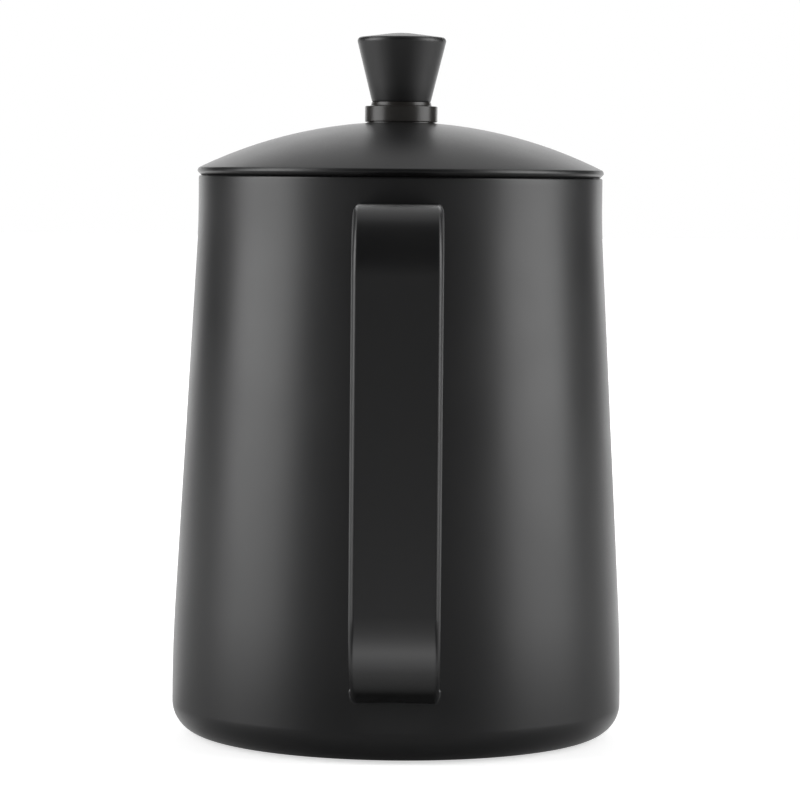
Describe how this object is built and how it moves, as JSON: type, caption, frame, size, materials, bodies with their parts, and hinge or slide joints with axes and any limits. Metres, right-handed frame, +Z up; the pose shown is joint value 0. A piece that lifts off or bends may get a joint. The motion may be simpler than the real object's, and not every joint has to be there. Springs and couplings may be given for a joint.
{
  "type": "gooseneck coffee kettle",
  "caption": "Tapered pour-over coffee kettle with a gooseneck spout, a welded strap handle and a lift-off domed lid with a conical knob.",
  "frame": {"origin": "on the kettle's axis, on the flat underside that it stands on", "axes": "+Z up along the kettle's axis, +Y from the handle towards the spout, +X to the right when the handle faces the viewer"},
  "size_m": [0.09, 0.1819, 0.14],
  "materials": {
    "black_coating": "satin black coating on stainless steel",
    "bare_steel": "brushed",
    "collar_coating": "satin dark coating",
    "knob_plastic": "fine matte moulding",
    "insert_brass": "turned"
  },
  "bodies": {
    "kettle": {"body_wall": "black_coating", "base_pan": "black_coating", "handle_strap": "black_coating", "upper_handle_weld": "black_coating", "lower_handle_weld": "black_coating", "spout_root": "black_coating", "spout_neck": "black_coating", "spout_weld": "black_coating"},
    "lid": {"lid_dome": "black_coating", "lid_skirt": "bare_steel", "knob_collar": "collar_coating", "knob": "knob_plastic", "knob_insert": "insert_brass", "knob_screw": "bare_steel", "flat_washer": "bare_steel", "spring_washer": "bare_steel"}
  },
  "joints": [
    {"name": "lid_lift", "type": "slide", "parent": "kettle", "child": "lid", "axis": [0, 0, 1], "range_m": [0, 0.05]}
  ]
}
